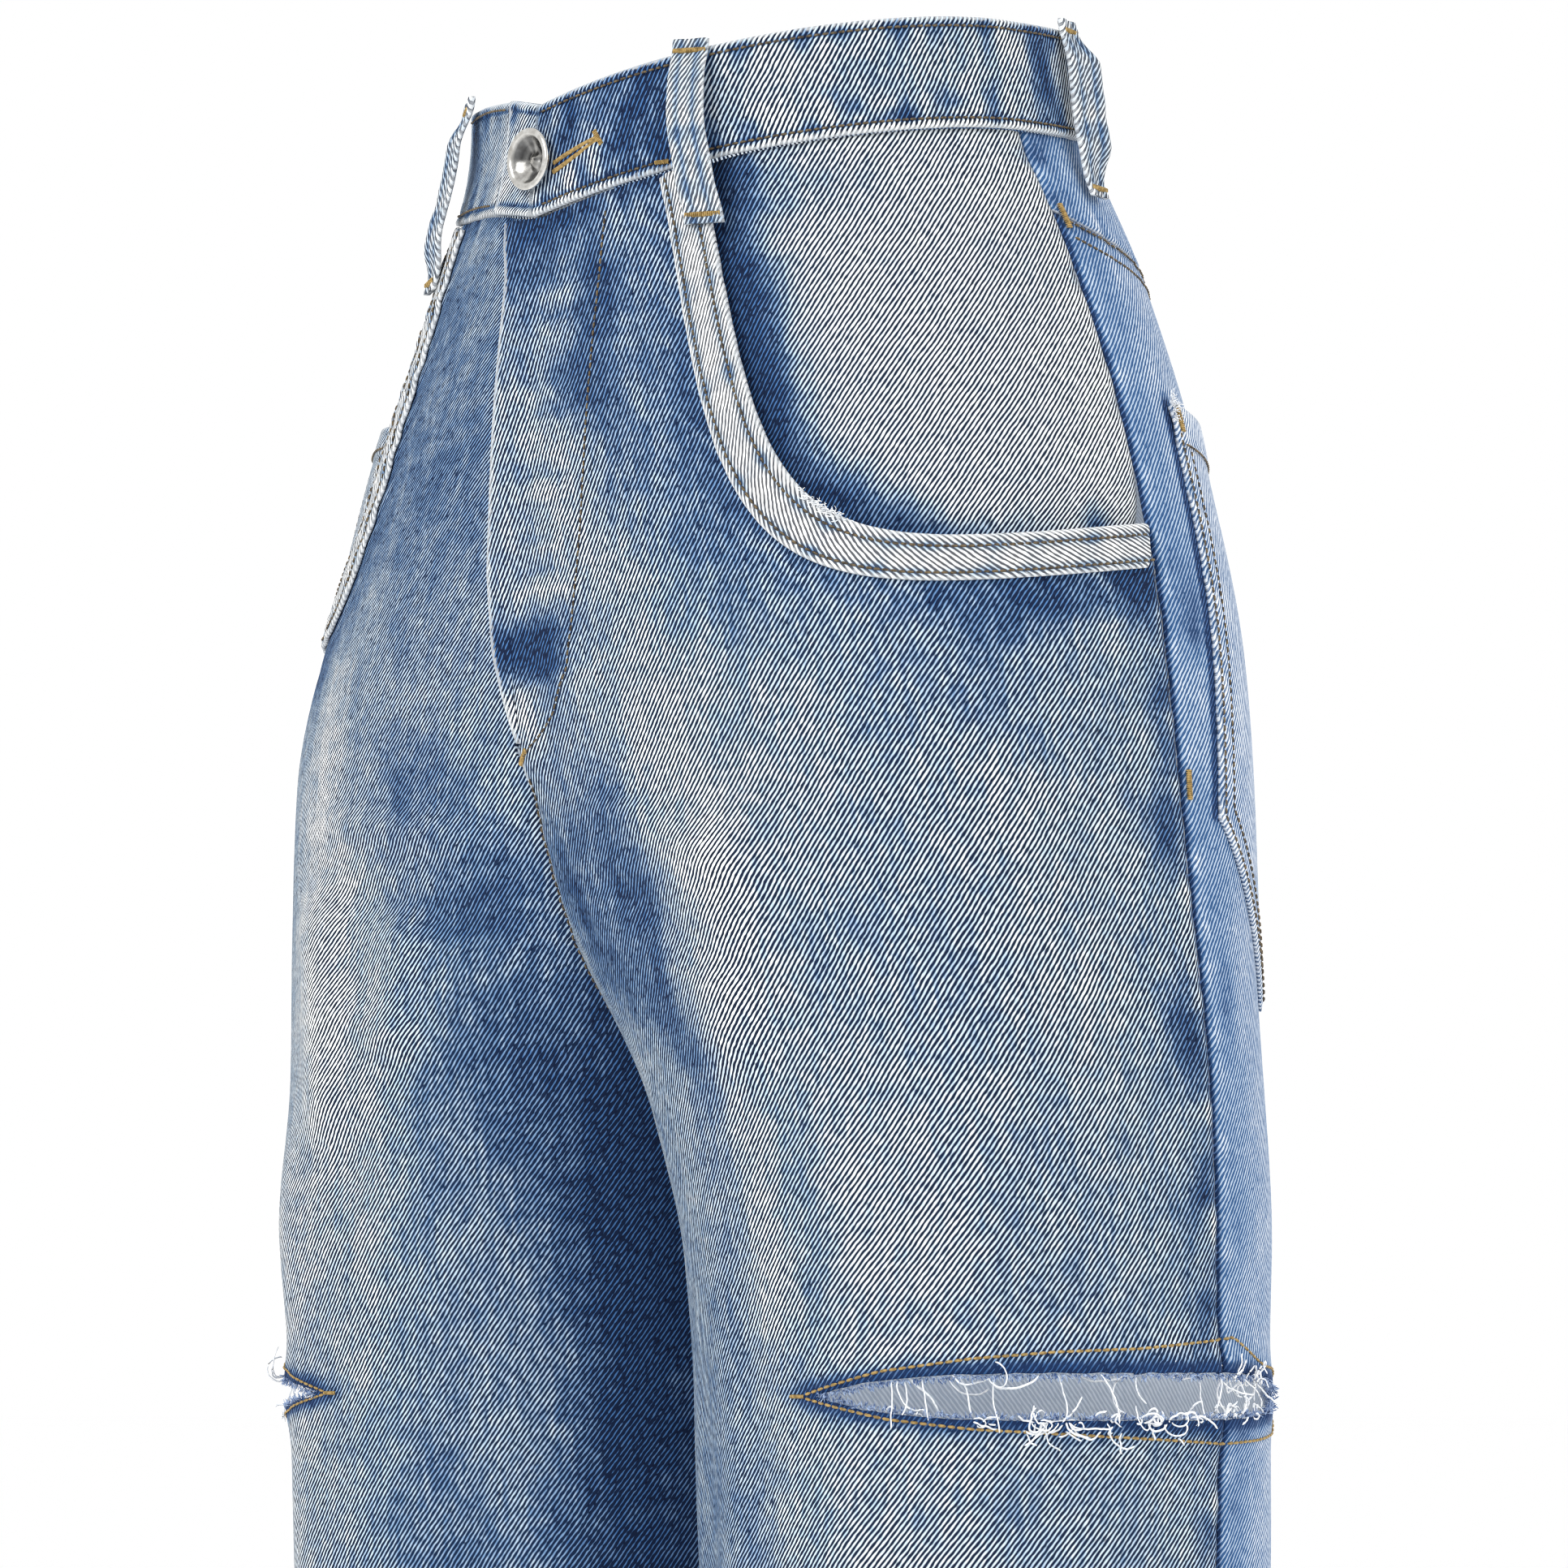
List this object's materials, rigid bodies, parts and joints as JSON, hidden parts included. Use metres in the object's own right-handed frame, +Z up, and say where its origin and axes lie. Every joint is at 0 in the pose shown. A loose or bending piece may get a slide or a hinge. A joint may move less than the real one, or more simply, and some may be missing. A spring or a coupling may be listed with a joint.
{
  "type": "ripped jeans",
  "caption": "High-waisted wide-leg jeans in washed denim, slashed across both thighs, hollow as when worn, with scoop pockets, belt loops and a shank button",
  "frame": {"origin": "the middle of the waist opening, in the line of the top of the waistband at the back quarter, where the wearer's waist holds the garment", "axes": "+Z up along the body, the front faces -Y, the wearer's left is +X"},
  "size_m": [0.4122, 0.2225, 1.071],
  "materials": {
    "washed_denim": "stone-washed 3/1 twill, faded at edges and seams",
    "faded_denim": "heavily faded twill, near white on raised edges",
    "nickel": "polished nickel plate"
  },
  "bodies": {
    "root": {"front_left": "washed_denim", "front_right": "washed_denim", "back_left": "washed_denim", "back_right": "washed_denim", "yoke_left": "washed_denim", "yoke_right": "washed_denim", "fly_facing": "washed_denim", "waistband": "washed_denim", "back_pocket_left": "washed_denim", "back_pocket_right": "washed_denim", "coin_pocket": "washed_denim", "belt_loop_front_left": "washed_denim", "belt_loop_front_right": "washed_denim", "belt_loop_side_left": "washed_denim", "belt_loop_side_right": "washed_denim", "belt_loop_back": "washed_denim", "pocket_facing_left": "faded_denim", "pocket_facing_right": "faded_denim", "pocket_band_left": "faded_denim", "pocket_band_right": "faded_denim", "waist_button": "nickel"}
  },
  "joints": []
}
